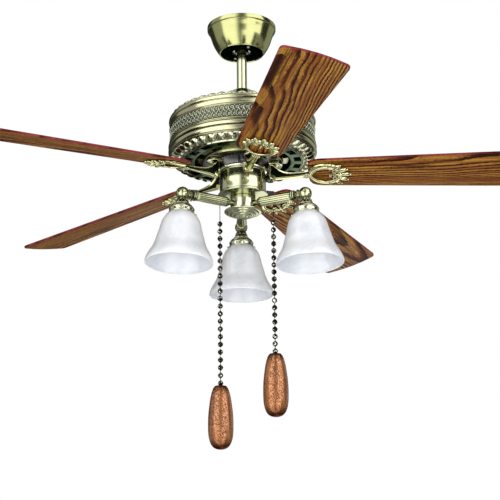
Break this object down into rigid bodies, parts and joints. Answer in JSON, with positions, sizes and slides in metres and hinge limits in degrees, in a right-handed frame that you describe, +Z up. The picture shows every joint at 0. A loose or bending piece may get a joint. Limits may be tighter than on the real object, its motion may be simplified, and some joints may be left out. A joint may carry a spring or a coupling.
{
  "type": "ceiling fan with light kit",
  "caption": "Ceiling fan on a short downrod, with pitched blades on leaf-shaped irons, a gadrooned motor housing, a lamp kit with bell glass shades, and two bead pull chains.",
  "frame": {"origin": "centre of the hanger bracket's upper face, on the fan's vertical axis and in the plane of the ceiling", "axes": "+Z up into the ceiling, -Y towards the viewer of the product view, +X to the viewer's right"},
  "size_m": [1.2514, 1.2667, 0.9351],
  "materials": {
    "antique_brass": "antiqued, brushed and lacquered",
    "dark_bronze": "dark bronze paint, satin",
    "cast_aluminium": "die cast, dark satin",
    "zinc_steel": "zinc plated",
    "copper_winding": "steel laminations wound with enamelled copper",
    "walnut": "walnut grain, satin lacquer",
    "turned_wood": "turned and lacquered",
    "black_plastic": "moulded, satin",
    "bulb_glass": "white inner coating",
    "alabaster_glass": "white alabaster glass, faintly marbled"
  },
  "bodies": {
    "ceiling_mount": {"hanger_bracket": "zinc_steel", "canopy": "antique_brass", "canopy_cover_ring": "dark_bronze"},
    "fan_frame": {"hanger_ball": "cast_aluminium", "hanger_pin": "zinc_steel", "downrod": "antique_brass", "motor_yoke": "cast_aluminium", "yoke_pin": "zinc_steel", "yoke_cover": "antique_brass", "motor_housing_top": "antique_brass", "motor_housing_band": "antique_brass", "motor_housing_lower_ring": "antique_brass", "vent_grille": "dark_bronze", "motor_shaft": "zinc_steel", "motor_bearing_upper": "zinc_steel", "motor_bearing_lower": "zinc_steel", "stator": "copper_winding", "switch_housing_plate": "antique_brass", "switch_housing": "antique_brass", "fan_speed_switch": "black_plastic", "light_switch": "black_plastic", "reverse_switch": "black_plastic", "capacitor": "black_plastic", "light_fitter_plate": "antique_brass", "light_fitter": "antique_brass", "bottom_cap": "antique_brass", "light_arm_1": "antique_brass", "light_arm_2": "antique_brass", "light_arm_3": "antique_brass", "lamp_elbow_1": "antique_brass", "lamp_elbow_2": "antique_brass", "lamp_elbow_3": "antique_brass", "shade_gallery_1": "antique_brass", "shade_gallery_2": "antique_brass", "shade_gallery_3": "antique_brass", "lamp_socket_1": "black_plastic", "lamp_socket_2": "black_plastic", "lamp_socket_3": "black_plastic", "lamp_bulb_1": "bulb_glass", "lamp_bulb_2": "bulb_glass", "lamp_bulb_3": "bulb_glass", "glass_shade_1": "alabaster_glass", "glass_shade_2": "alabaster_glass", "glass_shade_3": "alabaster_glass"},
    "rotor": {"rotor": "cast_aluminium", "blade_iron_1": "antique_brass", "blade_iron_2": "antique_brass", "blade_iron_3": "antique_brass", "blade_iron_4": "antique_brass", "blade_iron_5": "antique_brass", "blade_1": "walnut", "blade_2": "walnut", "blade_3": "walnut", "blade_4": "walnut", "blade_5": "walnut"},
    "fan_chain": {"fan_pull_chain": "antique_brass", "fan_pull_drop": "turned_wood"},
    "light_chain": {"light_pull_chain": "antique_brass", "light_pull_drop": "turned_wood"},
    "reverse_slider": {"reverse_slider": "black_plastic"}
  },
  "joints": [
    {"name": "hanger_tilt", "type": "hinge", "parent": "ceiling_mount", "child": "fan_frame", "pos_m": [0, 0, -0.034], "axis": [1, 0, 0], "range_deg": [-10, 10]},
    {"name": "rotor_spin", "type": "hinge", "parent": "fan_frame", "child": "rotor", "pos_m": [0, 0, -0.27], "axis": [0, 0, 1], "continuous": true},
    {"name": "fan_chain_pull", "type": "slide", "parent": "fan_frame", "child": "fan_chain", "axis": [0, 0, -1], "range_m": [0, 0.01], "stiffness_N_per_m": 1000, "springref_m": -0.005},
    {"name": "light_chain_pull", "type": "slide", "parent": "fan_frame", "child": "light_chain", "axis": [0, 0, -1], "range_m": [0, 0.01], "stiffness_N_per_m": 1000, "springref_m": -0.005},
    {"name": "reverse_slide", "type": "slide", "parent": "fan_frame", "child": "reverse_slider", "axis": [-0.9996, -0.0297, 0], "range_m": [0, 0.005]}
  ]
}
